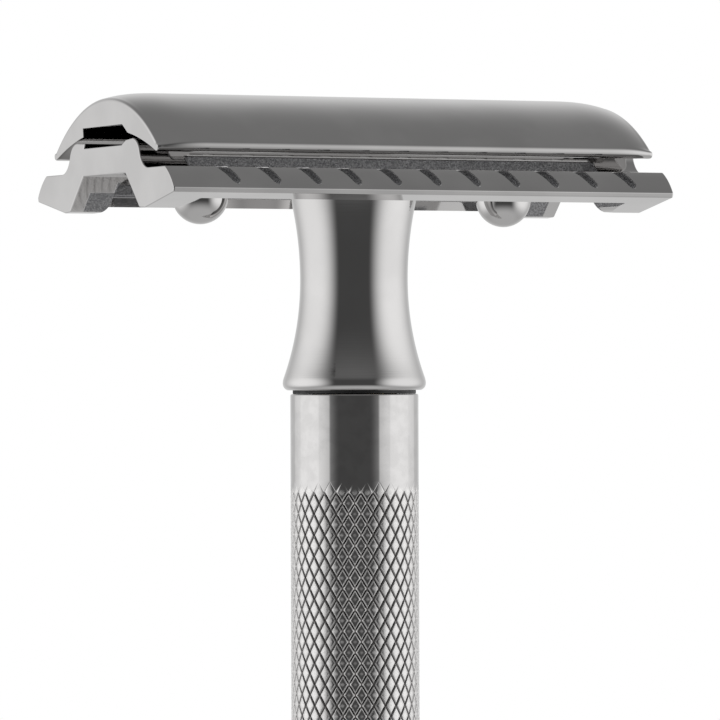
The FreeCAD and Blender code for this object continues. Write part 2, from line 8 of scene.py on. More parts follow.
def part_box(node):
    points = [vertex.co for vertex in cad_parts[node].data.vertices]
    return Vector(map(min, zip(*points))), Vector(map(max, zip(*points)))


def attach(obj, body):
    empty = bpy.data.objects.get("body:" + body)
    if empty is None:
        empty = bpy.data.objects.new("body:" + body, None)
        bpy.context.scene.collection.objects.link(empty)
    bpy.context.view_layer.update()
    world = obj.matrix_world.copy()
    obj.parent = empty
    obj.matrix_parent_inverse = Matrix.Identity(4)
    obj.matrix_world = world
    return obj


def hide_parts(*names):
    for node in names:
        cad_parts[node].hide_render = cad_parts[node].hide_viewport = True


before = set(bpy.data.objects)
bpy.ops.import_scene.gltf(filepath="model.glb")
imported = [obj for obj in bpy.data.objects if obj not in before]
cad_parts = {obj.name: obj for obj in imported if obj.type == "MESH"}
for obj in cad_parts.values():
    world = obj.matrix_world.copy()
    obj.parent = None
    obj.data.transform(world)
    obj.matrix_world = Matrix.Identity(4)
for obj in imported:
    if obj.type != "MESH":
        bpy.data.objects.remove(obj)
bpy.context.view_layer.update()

# Lengths are in metres. The razor stands on its pommel, with Z up the handle and X along the head.
# The head's heights count from the flat top of the guard flange, as they do on the CAD part.
MM = 0.001
QUARTER_TURN = math.radians(90.0)
CAP_RISE = 6.0 * MM
CAP_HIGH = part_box("top_cap")[1]
SLEEVE_LOW, SLEEVE_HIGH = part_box("handle_sleeve")
STUD_LOW, STUD_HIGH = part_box("cap_stud")
FLANGE_Z = CAP_HIGH.z - CAP_RISE


# ---------------------------------------------------------------- node helpers

class Nodes:
    """Short calls for building a node tree."""

    def __init__(self, tree):
        self.tree = tree
        tree.nodes.clear()

    def add(self, kind, settings=None, **inputs):
        """A node with its settings and inputs. An input is a value or another node's socket."""
        node = self.tree.nodes.new(kind)
        for name, value in (settings or {}).items():
            setattr(node, name, value)
        for name, value in inputs.items():
            self.feed(node, name.replace("_", " "), value)
        return node

    def feed(self, node, name, value):
        socket = node.inputs[int(name)] if name.isdigit() else node.inputs[name]
        if isinstance(value, bpy.types.NodeSocket):
            self.tree.links.new(value, socket)
        else:
            socket.default_value = value

    def math(self, operation, *values):
        node = self.tree.nodes.new("ShaderNodeMath")
        node.operation = operation
        for index, value in enumerate(values):
            self.feed(node, str(index), value)
        return node.outputs[0]

    def mix(self, factor, first, second):
        """A blend of two numbers."""
        return self.add("ShaderNodeMix", Factor=factor, **{"2": first, "3": second}).outputs[0]

    def mix_colour(self, factor, first, second):
        node = self.add("ShaderNodeMix", {"data_type": "RGBA"}, Factor=factor)
        for name, colour in (("A", first), ("B", second)):
            self.feed(node, name, colour if isinstance(colour, bpy.types.NodeSocket) else (*colour, 1.0))
        return node.outputs["Result"]

    def step(self, value, low, high):
        """A smooth step from 0 at low to 1 at high."""
        node = self.add("ShaderNodeMapRange", {"interpolation_type": "SMOOTHSTEP"}, Value=value,
                        From_Min=low, From_Max=high)
        return node.outputs[0]

    def fall(self, value, low, high):
        """A smooth step from 1 at low to 0 at high."""
        return self.math("SUBTRACT", 1.0, self.step(value, low, high))

    def greys(self, value, low, high):
        """Grey levels between two stops, each a place from 0 to 1 and the level there."""
        node = self.add("ShaderNodeValToRGB", Fac=value)
        for element, (place, level) in zip(node.color_ramp.elements, (low, high)):
            element.position = place
            element.color = (level, level, level, 1.0)
        return node.outputs[0]

    def noise(self, place, scale, detail=3.0, roughness=0.5):
        return self.add("ShaderNodeTexNoise", Vector=place, Scale=scale, Detail=detail,
                        Roughness=roughness).outputs["Fac"]

    def object_place(self):
        return self.add("ShaderNodeTexCoord").outputs["Object"]


# ---------------------------------------------------------------- studio: world, floor, light, camera

CAMERA_YAW = math.radians(25.49)
CAMERA_LIFT = math.radians(0.254)
CAMERA_ROLL = math.radians(0.205)
CAMERA_DISTANCE = 448.6 * MM
CAMERA_DROP = 16.44 * MM
CAMERA_SIDE = 0.45 * MM
LENS = 288.0
SENSOR = 36.0

# How bright the studio's soft parts are. The razor mirrors them.
FRONT = 0.08
SIDES = 1.2
BACK = 0.7
ABOVE = 0.25
BELOW = 0.6

FLOOR_RADIUS = 0.45
FLOOR_SEGMENTS = 96
LAMP_SIZE = 1.2
LAMP_HEIGHT = 1.0
LAMP_POWER = 11.0


def build_world():
    """A plain soft studio: dim in front, white at the sides, grey behind, above and below. The camera itself
    sees plain white. Each direction runs from -1 to 1, and a part fades in between two places along it."""
    world = bpy.data.worlds.new("studio")
    bpy.context.scene.world = world
    world.use_nodes = True
    n = Nodes(world.node_tree)
    place = n.add("ShaderNodeTexCoord").outputs["Generated"]
    turned = n.add("ShaderNodeVectorRotate", {"rotation_type": "Z_AXIS"}, Vector=place, Angle=CAMERA_YAW)
    right, away, up = n.add("ShaderNodeSeparateXYZ", Vector=turned.outputs[0]).outputs
    level = n.mix(n.step(away, low=0.0, high=1.0), FRONT, BACK)
    level = n.mix(n.step(n.math("ABSOLUTE", right), low=0.5, high=1.0), level, SIDES)
    level = n.mix(n.step(up, low=0.3, high=0.9), level, ABOVE)
    level = n.mix(n.fall(up, low=-0.9, high=-0.3), level, BELOW)
    seen = n.add("ShaderNodeLightPath").outputs["Is Camera Ray"]
    background = n.add("ShaderNodeBackground", Strength=n.mix(seen, level, 1.0))
    background.inputs["Color"].default_value = (1.0, 1.0, 1.0, 1.0)
    n.add("ShaderNodeOutputWorld", Surface=background.outputs[0])


def build_floor():
    """A pale disc under the razor. The metal doesn't mirror it."""
    mesh = bpy.data.meshes.new("floor")
    bm = bmesh.new()
    bmesh.ops.create_circle(bm, cap_ends=True, segments=FLOOR_SEGMENTS, radius=FLOOR_RADIUS)
    bm.to_mesh(mesh)
    bm.free()
    floor = bpy.data.objects.new("floor", mesh)
    bpy.context.scene.collection.objects.link(floor)
    material, n = new_material("pale_floor")
    tone = n.greys(n.noise(n.object_place(), scale=9.0), low=(0.3, 0.9), high=(0.7, 0.93))
    finish_material(n, Base_Color=tone, Roughness=0.6)
    mesh.materials.append(material)
    floor.visible_glossy = False


def build_light():
    """A large soft lamp overhead that lights the floor. The metal doesn't mirror it."""
    lamp = bpy.data.lights.new("overhead", "AREA")
    lamp.shape = "DISK"
    lamp.size = LAMP_SIZE
    lamp.energy = LAMP_POWER
    light = bpy.data.objects.new("overhead", lamp)
    light.location = (0.0, 0.0, LAMP_HEIGHT)
    light.visible_glossy = False
    light.visible_camera = False
    bpy.context.scene.collection.objects.link(light)


def build_camera():
    """Almost level with the neck, to the left of square-on, with a long lens."""
    data = bpy.data.cameras.new("camera")
    data.lens = LENS
    data.sensor_width = SENSOR
    data.clip_start = 0.01
    camera = bpy.data.objects.new("camera", data)
    ahead = Vector((math.sin(CAMERA_YAW), math.cos(CAMERA_YAW), 0.0))
    aside = Vector((math.cos(CAMERA_YAW), -math.sin(CAMERA_YAW), 0.0))
    camera.location = aside * CAMERA_SIDE - ahead * CAMERA_DISTANCE
    camera.location.z = FLANGE_Z - CAMERA_DROP
    heading = Matrix.Rotation(-CAMERA_YAW, 3, "Z")
    tilt = Matrix.Rotation(QUARTER_TURN + CAMERA_LIFT, 3, "X")
    roll = Matrix.Rotation(-CAMERA_ROLL, 3, "Z")
    camera.rotation_euler = (heading @ tilt @ roll).to_euler()
    bpy.context.scene.collection.objects.link(camera)
    bpy.context.scene.camera = camera


# ---------------------------------------------------------------- materials

CHROME = (0.60, 0.592, 0.588)
CAST_LIGHT = (0.60, 0.60, 0.61)
CAST_DARK = (0.25, 0.25, 0.26)
# Painted shade for the knurl's grooves.
GROOVE_PAINTED_SHADE = (0.16, 0.152, 0.148)
# A painted highlight on the knurl's worn rims.
RIM_PAINTED_HIGHLIGHT = (0.86, 0.85, 0.84)
STEEL = (0.66, 0.66, 0.67)
BLUED_STEEL = (0.16, 0.17, 0.24)
PHOSPHATED_STEEL = (0.14, 0.14, 0.15)
BRASS = (0.75, 0.58, 0.30)
BRONZE = (0.62, 0.42, 0.22)
BRONZE_PORE = (0.16, 0.09, 0.045)
ACETAL = (0.012, 0.012, 0.013)


def new_material(name):
    material = bpy.data.materials.new(name)
    material.use_nodes = True
    return material, Nodes(material.node_tree)


def finish_material(n, **inputs):
    shader = n.add("ShaderNodeBsdfPrincipled", **inputs)
    n.add("ShaderNodeOutputMaterial", Surface=shader.outputs[0])


def clouded(n, place, colour, amount=0.04, scale=180.0):
    """The colour with slow, slight clouds of a darker and a lighter tone."""
    dark = [channel * (1.0 - amount) for channel in colour]
    light = [min(1.0, channel * (1.0 + amount)) for channel in colour]
    return n.mix_colour(n.step(n.noise(place, scale), low=0.35, high=0.65), dark, light)


def smudged(n, place, roughness):
    """The roughness with finer patches of duller and brighter gloss."""
    smudge = n.noise(place, scale=420.0, detail=6.0, roughness=0.65)
    return n.mix(n.step(smudge, low=0.3, high=0.75), roughness * 0.75, roughness * 1.5)


def bumps(n, height, strength, distance):
    return n.add("ShaderNodeBump", Height=height, Strength=strength, Distance=distance).outputs[0]


def stretched(n, place, scale):
    """The place, scaled along X, Y and Z. A large scale along Z draws a noise out into rings."""
    return n.add("ShaderNodeMapping", Vector=place, Scale=scale).outputs[0]


def plated(name, ripple_scale, ripple, roughness):
    """Polished dark chrome plate: faint clouds, smudges and a ripple."""
    material, n = new_material(name)
    place = n.object_place()
    ripples = n.noise(stretched(n, place, ripple_scale), scale=1.0, detail=4.0, roughness=0.6)
    finish_material(n, Base_Color=clouded(n, place, CHROME), Metallic=1.0,
                    Roughness=smudged(n, place, roughness),
                    Normal=bumps(n, ripples, strength=ripple, distance=0.02 * MM))
    return material


# Where the base plate's unpolished faces lie. Reaches and ends count from the plate's middle along Y and X,
# rises from the flange. A mask fades over the border on either side of its limit.
BORDER = 0.05 * MM
SLOT_REACHES = (6.65 * MM, 9.15 * MM)
SLOT_END = 17.45 * MM
SLOT_WALL_RISES = (0.15 * MM, 0.92 * MM)
BAR_REACH = 9.42 * MM
BAR_RISE = -3.94 * MM
BAR_RADIUS = 4.5 * MM
BAR_END = 20.4 * MM
NOTCH_REACH = 10.5 * MM
NOTCH_RISE = -1.6 * MM
NOTCH_DEPTHS = (0.03 * MM, 0.08 * MM)
DOME_END = 13.07 * MM
DOME_RADIUS = 2.7 * MM
HOLLOW_REACH = 11.1 * MM
HOLLOW_END = 18.0 * MM
HOLLOW_RISE = -0.7 * MM
FOOT_GAP_REACHES = (3.4 * MM, 6.7 * MM)
FOOT_GAP_END = 20.0 * MM
FOOT_GAP_RISE = -1.5 * MM


class PlateRegions:
    """Masks of the base plate's unpolished faces, from the place on the plate."""

    def __init__(self, n, place):
        x, y, z = n.add("ShaderNodeSeparateXYZ", Vector=place).outputs
        self.n = n
        self.along = n.math("ABSOLUTE", x)
        self.across = n.math("ABSOLUTE", y)
        self.height = n.math("SUBTRACT", z, FLANGE_Z)

    def all_of(self, *masks):
        product = masks[0]
        for mask in masks[1:]:
            product = self.n.math("MULTIPLY", product, mask)
        return product

    def beyond(self, value, limit):
        return self.n.step(value, limit - BORDER, limit + BORDER)

    def short_of(self, value, limit):
        return self.n.fall(value, limit - BORDER, limit + BORDER)

    def distance(self, first, second):
        """How far a place is from an axis, given how far it is from it in two directions."""
        n = self.n
        return n.math("SQRT", n.math("ADD", n.math("POWER", first, 2.0), n.math("POWER", second, 2.0)))

    def slot_walls(self):
        """The grainy walls of the two lather slots."""
        inner, outer = SLOT_REACHES
        foot, top = SLOT_WALL_RISES
        return self.all_of(self.beyond(self.across, inner), self.short_of(self.across, outer),
                           self.short_of(self.along, SLOT_END), self.beyond(self.height, foot),
                           self.short_of(self.height, top))

    def notch_floors(self):
        """Inside the slanted notches: under the round face of the bar and under its flat top."""
        n = self.n
        from_axis = self.distance(n.math("SUBTRACT", self.across, BAR_REACH),
                                  n.math("SUBTRACT", self.height, BAR_RISE))
        under_face = n.math("SUBTRACT", BAR_RADIUS, from_axis)
        depth = n.math("MINIMUM", under_face, n.math("MULTIPLY", self.height, -1.0))
        return self.all_of(n.step(depth, *NOTCH_DEPTHS), self.beyond(self.across, NOTCH_REACH),
                           self.beyond(self.height, NOTCH_RISE), self.short_of(self.along, BAR_END))

    def hollows(self):
        """Between the feet, apart from the polished domes and a polished rim at each end."""
        n = self.n
        from_dome = self.distance(n.math("SUBTRACT", self.along, DOME_END), self.across)
        wide = self.all_of(self.short_of(self.across, HOLLOW_REACH), self.short_of(self.along, HOLLOW_END),
                           self.short_of(self.height, HOLLOW_RISE))
        inner, outer = FOOT_GAP_REACHES
        foot_gaps = self.all_of(self.short_of(self.across, outer), self.beyond(self.across, inner),
                                self.short_of(self.along, FOOT_GAP_END),
                                self.short_of(self.height, FOOT_GAP_RISE))
        return self.all_of(n.math("MAXIMUM", wide, foot_gaps), self.beyond(from_dome, DOME_RADIUS))


def cast_plated():
    """The base plate's plate: polished outside, rough as cast in its slots, hollows and notches."""
    material, n = new_material("cast_dark_chrome")
    place = n.object_place()
    regions = PlateRegions(n, place)
    rough = n.math("MAXIMUM", n.math("MAXIMUM", regions.slot_walls(), regions.notch_floors()),
                   regions.hollows())
    grain = n.noise(place, scale=8000.0, detail=3.0, roughness=0.75)
    cast = n.mix_colour(n.step(grain, low=0.35, high=0.68), CAST_DARK, CAST_LIGHT)
    polished_height = n.math("MULTIPLY", n.noise(place, scale=300.0), 0.02)
    height = n.mix(rough, polished_height, grain)
    finish_material(n, Base_Color=n.mix_colour(rough, clouded(n, place, CHROME), cast), Metallic=1.0,
                    Roughness=n.mix(rough, smudged(n, place, roughness=0.045), 0.5),
                    Normal=bumps(n, height, strength=1.0, distance=0.16 * MM))
    return material


# Depths under the knurl's tops. The grooves' painted shade ends at the first. The worn rim, lightened by a
# painted highlight, begins at the second, is full at the third, and fades out over the last two, so that the
# tops stay bright.
GROOVE_SHADE_END = 0.03 * MM
RIM_START = 0.05 * MM
RIM_FULL = 0.02 * MM
RIM_FADE = 0.008 * MM
RIM_END = 0.003 * MM
# The wear and its painted highlight begin this far inside the knurl's ends, and are full at the second
# distance.
WEAR_AND_HIGHLIGHT_START = 0.3 * MM
WEAR_AND_HIGHLIGHT_FULL = 0.9 * MM


def worn_knurl():
    """The knurl's plate: painted shade in the grooves, mirror-bright tops, rims worn dull and painted
    brighter as a highlight.
    """
    material, n = new_material("knurled_dark_chrome")
    place = n.object_place()
    radius = SLEEVE_HIGH.x
    x, y, z = n.add("ShaderNodeSeparateXYZ", Vector=place).outputs
    reach = n.math("SQRT", n.math("ADD", n.math("POWER", x, 2.0), n.math("POWER", y, 2.0)))
    # Painted shade: the colour darkens down into the grooves.
    top = n.step(reach, radius - KNURL_DEPTH, radius - GROOVE_SHADE_END)
    # The rims are worn dull, and their brighter colour is a painted highlight.
    rim = n.math("MULTIPLY", n.step(reach, radius - RIM_START, radius - RIM_FULL),
                 n.fall(reach, radius - RIM_FADE, radius - RIM_END))
    in_knurl = n.math("MULTIPLY", n.fall(z, KNURL_TOP - WEAR_AND_HIGHLIGHT_FULL, KNURL_TOP - WEAR_AND_HIGHLIGHT_START),
                      n.step(z, KNURL_FOOT + WEAR_AND_HIGHLIGHT_START, KNURL_FOOT + WEAR_AND_HIGHLIGHT_FULL))
    worn_and_highlighted = n.math("MULTIPLY", rim, in_knurl)
    plate = clouded(n, place, CHROME, amount=0.05, scale=900.0)
    dents = n.math("MULTIPLY", n.noise(place, scale=2600.0, detail=2.0), n.mix(in_knurl, 0.06, 1.0))
    finish_material(n, Base_Color=n.mix_colour(worn_and_highlighted, n.mix_colour(top, GROOVE_PAINTED_SHADE, plate), RIM_PAINTED_HIGHLIGHT),
                    Metallic=1.0, Roughness=n.mix(worn_and_highlighted, smudged(n, place, roughness=0.035), 0.5),
                    Normal=bumps(n, dents, strength=0.2, distance=0.02 * MM))
    return material


def turned_metal(name, colour, roughness, groove_scale):
    """A turned, unplated metal: fine grooves round the axis and slight stains."""
    material, n = new_material(name)
    place = n.object_place()
    grooves = n.noise(stretched(n, place, (60.0, 60.0, groove_scale)), scale=1.0, detail=5.0, roughness=0.7)
    finish_material(n, Base_Color=clouded(n, place, colour, amount=0.09, scale=500.0), Metallic=1.0,
                    Roughness=smudged(n, place, roughness),
                    Normal=bumps(n, grooves, strength=0.35, distance=0.03 * MM))
    return material


def sintered_bronze():
    """Pressed powder: fine dark pores in a warm, dull metal."""
    material, n = new_material("sintered_bronze")
    place = n.object_place()
    cells = n.add("ShaderNodeTexVoronoi", Vector=place, Scale=6000.0).outputs["Distance"]
    solid = n.step(cells, low=0.1, high=0.3)
    metal = clouded(n, place, BRONZE, amount=0.1, scale=700.0)
    finish_material(n, Base_Color=n.mix_colour(solid, BRONZE_PORE, metal), Metallic=1.0,
                    Roughness=n.mix(solid, 0.7, 0.42),
                    Normal=bumps(n, solid, strength=0.4, distance=0.02 * MM))
    return material


def black_acetal():
    """Black plastic with faint turning marks."""
    material, n = new_material("black_acetal")
    place = n.object_place()
    marks = n.noise(stretched(n, place, (90.0, 90.0, 14000.0)), scale=1.0)
    finish_material(n, Base_Color=clouded(n, place, ACETAL, amount=0.3, scale=800.0),
                    Roughness=smudged(n, place, roughness=0.5),
                    Normal=bumps(n, marks, strength=0.2, distance=0.02 * MM))
    return material


def dress(mesh, material):
    """Put a material in every slot of a mesh."""
    if not mesh.materials:
        mesh.materials.append(material)
    for index in range(len(mesh.materials)):
        mesh.materials[index] = material


# ---------------------------------------------------------------- mesh helpers

def new_piece(name, bm, body, node, material):
    """An object made from a bmesh. It stands for a CAD node and moves with that node's body."""
    bmesh.ops.recalc_face_normals(bm, faces=bm.faces)
    mesh = bpy.data.meshes.new(name)
    bm.to_mesh(mesh)
    bm.free()
    piece = bpy.data.objects.new(name, mesh)
    bpy.context.scene.collection.objects.link(piece)
    mesh.materials.append(material)
    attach(piece, body)
    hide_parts(node)


def join_rings(bm, rings):
    """Quads between each ring of vertices and the next."""
    for lower, upper in zip(rings, rings[1:]):
        count = len(lower)
        for index in range(count):
            following = (index + 1) % count
            bm.faces.new((lower[index], lower[following], upper[following], upper[index]))


def close_ends(bm, rings):
    """A flat face on the first ring and on the last."""
    bm.faces.new(rings[0])
    bm.faces.new(rings[-1])


def shade_smooth(bm):
    for face in bm.faces:
        face.smooth = True


def sharpen(bm, first, second):
    """Make the edge between two vertices sharp."""
    bm.edges.get((first, second)).smooth = False


def sharpen_ring(bm, ring):
    for first, second in zip(ring, ring[1:] + ring[:1]):
        sharpen(bm, first, second)


def angles_round(segments):
    return [2 * math.pi * index / segments for index in range(segments)]


def round_ring(bm, radius, height, segments):
    """A level, round ring of vertices about Z."""
    return [bm.verts.new((radius * math.cos(angle), radius * math.sin(angle), height))
            for angle in angles_round(segments)]


def ring_over(bm, template, radius, height):
    """A ring of vertices over or under another ring, at the same angles."""
    ring = []
    for vertex in template:
        outward = Vector((vertex.co.x, vertex.co.y, 0.0)).normalized()
        ring.append(bm.verts.new(outward * radius + Vector((0.0, 0.0, height))))
    return ring


# ---------------------------------------------------------------- the knurled sleeve

# The knurl: two families of V grooves cross in flat-topped diamonds.
KNURLS_ROUND = 32
KNURL_HEIGHT = 1.643 * MM
KNURL_ROWS = 27
KNURL_TOP = FLANGE_Z - 23.87 * MM
KNURL_FOOT = KNURL_TOP - KNURL_ROWS * KNURL_HEIGHT
KNURL_DEPTH = 0.11 * MM
KNURL_TURN = math.radians(-115.49)
# Places across a diamond, from one groove's bottom to just before the next, and how deep each one lies.
# The grooves' bottoms and the feet of their rims are sharp.
KNURL_PLACES = (0.0, 0.135, 0.21, 0.79, 0.865)
KNURL_DEPTHS = (1.0, 0.16, 0.0, 0.0, 0.16)
SHARP_LINES = (0, 1, 4)
# The grid's rows are numbered from 0 at the knurl's top down to the lowest row.
KNURL_LINES = len(KNURL_PLACES)
KNURL_COLUMNS = KNURL_LINES * KNURLS_ROUND
LOWEST_ROW = -2 * KNURL_ROWS * KNURL_LINES
# The grooves start this far inside the grid's ends, and reach their full depth and width over the fade.
KNURL_DELAY = 0.3 * MM
KNURL_FADE = 0.65 * MM
FADE_CURVE = 1.6
NARROWEST = 0.25
# A ring this far past each end of the knurl keeps the smooth bands beside it smooth.
NEXT_RING = 0.12 * MM
SLEEVE_EDGE = 0.14 * MM
SLEEVE_BORE = 3.3 * MM
EDGE_STEPS = 4


def fade_at(height):
    """How much of its depth a groove has at a height, from 0 at both ends of the knurl to 1."""
    inside = min(KNURL_TOP - height, height - KNURL_FOOT) - KNURL_DELAY
    return max(0.0, min(1.0, inside / KNURL_FADE)) ** FADE_CURVE


def knurl_place(index, narrowing=1.0):
    """The place of a grid line, counted in diamonds. Narrowing pulls the lines beside a groove towards it."""
    diamond, line = divmod(index, KNURL_LINES)
    place = KNURL_PLACES[line]
    groove = round(place)
    return diamond + groove + (place - groove) * narrowing


def knurl_point(first, second):
    """The point where two grid lines cross: one of each family."""
    fade = fade_at(KNURL_TOP + (knurl_place(first) - knurl_place(second)) * KNURL_HEIGHT / 2)
    narrowing = NARROWEST + (1.0 - NARROWEST) * fade
    one = knurl_place(first, narrowing)
    other = knurl_place(second, narrowing)
    angle = KNURL_TURN + math.pi * (one + other) / KNURLS_ROUND
    depth = KNURL_DEPTH * fade * max(KNURL_DEPTHS[first % KNURL_LINES], KNURL_DEPTHS[second % KNURL_LINES])
    reach = SLEEVE_HIGH.x - depth
    height = KNURL_TOP + (one - other) * KNURL_HEIGHT / 2
    return Vector((reach * math.cos(angle), reach * math.sin(angle), height))


def knurl_grid(bm):
    """The knurl's rows of vertices by number, joined by faces that follow the grooves."""
    rows = {row: [bm.verts.new(knurl_point(column + row, column)) for column in range(KNURL_COLUMNS)]
            for row in range(LOWEST_ROW, 1)}
    for row in rows:
        for column in range(KNURL_COLUMNS):
            following = (column + 1) % KNURL_COLUMNS
            corners = [rows[row][column]]
            if row < 0:
                corners.append(rows[row + 1][column])
            corners.append(rows[row][following])
            if row > LOWEST_ROW:
                corners.append(rows[row - 1][following])
            bm.faces.new(corners)
    return rows


def sharpen_grooves(bm, rows):
    """Make the grid edges along both families' sharp lines sharp, where the grooves have any depth."""
    for row, ring in rows.items():
        for column, start in enumerate(ring):
            if fade_at(start.co.z) <= 0.0:
                continue
            if row < 0 and column % KNURL_LINES in SHARP_LINES:
                sharpen(bm, start, rows[row + 1][column])
            if row > LOWEST_ROW and (column + row) % KNURL_LINES in SHARP_LINES:
                sharpen(bm, start, rows[row - 1][(column + 1) % KNURL_COLUMNS])


def build_sleeve(material):
    """The handle's tube: a smooth collar, the diamond knurl, and a smooth band above the pommel."""
    bm = bmesh.new()
    rows = knurl_grid(bm)
    over = [rows[0], ring_over(bm, rows[0], SLEEVE_HIGH.x, KNURL_TOP + NEXT_RING)]
    under = [rows[LOWEST_ROW], ring_over(bm, rows[LOWEST_ROW], SLEEVE_HIGH.x, KNURL_FOOT - NEXT_RING)]
    for step in range(EDGE_STEPS + 1):
        turn = QUARTER_TURN * step / EDGE_STEPS
        reach = SLEEVE_HIGH.x - SLEEVE_EDGE * (1 - math.cos(turn))
        inset = SLEEVE_EDGE * (1 - math.sin(turn))
        over.append(ring_over(bm, rows[0], reach, SLEEVE_HIGH.z - inset))
        under.append(ring_over(bm, rows[LOWEST_ROW], reach, SLEEVE_LOW.z + inset))
    over.append(ring_over(bm, rows[0], SLEEVE_BORE, SLEEVE_HIGH.z))
    under.append(ring_over(bm, rows[LOWEST_ROW], SLEEVE_BORE, SLEEVE_LOW.z))
    join_rings(bm, over)
    join_rings(bm, under)
    join_rings(bm, [over[-1], under[-1]])
    shade_smooth(bm)
    for ring in over[-2:] + under[-2:]:
        sharpen_ring(bm, ring)
    sharpen_grooves(bm, rows)
    new_piece("knurled_sleeve", bm, "handle", "handle_sleeve", material)


# ---------------------------------------------------------------- the cap

ARCH_REACH = 10.22 * MM
ARCH_FOOT = 2.05 * MM
ARCH_STEPS = 64
LIP_REACH = 9.75 * MM
LIP_RISE = 1.14 * MM
LIP_ROUND = 0.53 * MM
LIP_STEPS = 10
BLADE_CURVE = 27.0 * MM
BLADE_STEPS = 12
MOUTH_RISE = 2.72 * MM
ROOF_RISE = 3.4 * MM
BACK_MOUTH = 4.24 * MM
BACK_ROOF = 4.33 * MM
FRONT_MOUTH = 4.36 * MM
FRONT_ROOF = 3.31 * MM
END_ROLL_LENGTH = 4.0 * MM
END_ROLL_DEPTH = 0.4 * MM
END_ROLL_STEPS = 16
END_ROUND = 0.3 * MM
END_ROUND_STEPS = 5
UNDERSIDE_SHARE = 0.15


def arc_points(start, end, bend, count):
    """Points on the short arc from start up to, but without, end. A positive bend has its centre on the
    left."""
    chord = end - start
    normal = Vector((-chord.y, chord.x)).normalized()
    reach = math.sqrt(bend ** 2 - (chord.length / 2) ** 2)
    centre = (start + end) / 2 + normal * math.copysign(reach, bend)
    first = (start - centre).to_3d()
    sweep = 2 * math.asin(chord.length / (2 * abs(bend))) * math.copysign(1.0, bend)
    return [centre + (Matrix.Rotation(sweep * step / count, 3, "Z") @ first).to_2d() for step in range(count)]


def cap_section():
    """The cap's section, counterclockwise. Each point is (Y, height over the flange), with how far it follows
    the soft roll of the ends and whether it is a sharp corner."""
    rise = CAP_RISE - ARCH_FOOT
    arch_radius = (ARCH_REACH ** 2 + rise ** 2) / (2 * rise)
    mirror = Vector((-1.0, 1.0))
    foot = Vector((ARCH_REACH, ARCH_FOOT))
    lip = Vector((LIP_REACH, LIP_RISE))
    front_mouth = Vector((-FRONT_MOUTH, MOUTH_RISE))
    back_blade = arc_points(Vector((BACK_MOUTH, MOUTH_RISE)), lip, -BLADE_CURVE, BLADE_STEPS)
    back_lip = arc_points(lip, foot, LIP_ROUND, LIP_STEPS)
    arch = arc_points(foot, foot * mirror, arch_radius, ARCH_STEPS)
    front_lip = arc_points(foot * mirror, lip * mirror, LIP_ROUND, LIP_STEPS)
    front_blade = arc_points(lip * mirror, front_mouth, -BLADE_CURVE, BLADE_STEPS)
    points = [(Vector((BACK_ROOF, ROOF_RISE)), 0.0, True)]
    points += [(point, 0.0, index == 0) for index, point in enumerate(back_blade)]
    points += [(point, index / LIP_STEPS, False) for index, point in enumerate(back_lip)]
    points += [(point, 1.0, False) for point in arch]
    points += [(point, 1.0 - index / LIP_STEPS, False) for index, point in enumerate(front_lip)]
    points += [(point, 0.0, False) for point in front_blade]
    points += [(front_mouth, 0.0, True), (Vector((-FRONT_ROOF, ROOF_RISE)), 0.0, True)]
    return points


def inward_normals(points):
    """Unit vectors into the section at each of its points."""
    normals = []
    for index, point in enumerate(points):
        before = (point - points[index - 1]).normalized()
        after = (points[(index + 1) % len(points)] - point).normalized()
        along = (before + after).normalized()
        normals.append(Vector((-along.y, along.x)))
    return normals


def cap_stations():
    """Places along X, each with the depth of the soft roll and of the small end round there."""
    end = CAP_HIGH.x
    half = [(0.0, 0.0, 0.0)]
    for step in range(END_ROLL_STEPS + 1):
        share = step / END_ROLL_STEPS
        x = end - END_ROUND - END_ROLL_LENGTH * (1 - share)
        half.append((x, END_ROLL_DEPTH * share ** 3, 0.0))
    for step in range(1, END_ROUND_STEPS + 1):
        turn = QUARTER_TURN * step / END_ROUND_STEPS
        x = end - END_ROUND * (1 - math.sin(turn))
        half.append((x, END_ROLL_DEPTH, END_ROUND * (1 - math.cos(turn))))
    return [(-x, roll, end_round) for x, roll, end_round in reversed(half[1:])] + half


def build_cap(material):
    """The polished cap: the CAD cap's section, drawn in softly over the last few millimetres at each end."""
    bm = bmesh.new()
    section = cap_section()
    normals = inward_normals([point for point, _, _ in section])
    rings = []
    for x, roll, end_round in cap_stations():
        ring = []
        for (point, follows, _), normal in zip(section, normals):
            place = point + normal * (roll * follows + end_round * max(follows, UNDERSIDE_SHARE))
            ring.append(bm.verts.new((x, place.x, FLANGE_Z + place.y)))
        rings.append(ring)
    join_rings(bm, rings)
    shade_smooth(bm)
    close_ends(bm, rings)
    for lower, upper in zip(rings, rings[1:]):
        for index, (_, _, sharp) in enumerate(section):
            if sharp:
                sharpen(bm, lower[index], upper[index])
    new_piece("polished_cap", bm, "cap", "top_cap", material)


# ---------------------------------------------------------------- the neck and the dark ring

NECK_LOW, NECK_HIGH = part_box("neck")
BUSH_LOW, BUSH_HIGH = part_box("neck_bush")
WASHER_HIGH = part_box("thrust_washer")[1]
CHAMBER_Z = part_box("backing_washer")[0].z
TURNED_SEGMENTS = 128
NECK_TOP = 5.32 * MM
WAIST = 4.19 * MM
WAIST_DROP = 8.2 * MM
WAIST_STEPS = 48
NECK_LIP = 5.69 * MM
NECK_LIP_DROP = 16.35 * MM
NECK_LIP_START = 15.8 * MM
NECK_LIP_BULGE = 0.82 * MM
NECK_LIP_STEPS = 12
NECK_FOOT = 5.2 * MM
CHAMBER = 3.75 * MM
SPINDLE_BORE = 3.4 * MM
WASHER_GAP = 0.012 * MM
WASHER_EDGE = 0.04 * MM


def rise_of(height):
    """A height in the razor's frame, counted from the flange instead."""
    return height - FLANGE_Z


def curve_points(start, control, end, count):
    """Points on a quadratic curve after start, up to and with end."""
    points = []
    for step in range(1, count + 1):
        share = step / count
        points.append(start * (1 - share) ** 2 + control * (2 * share * (1 - share)) + end * share ** 2)
    return points


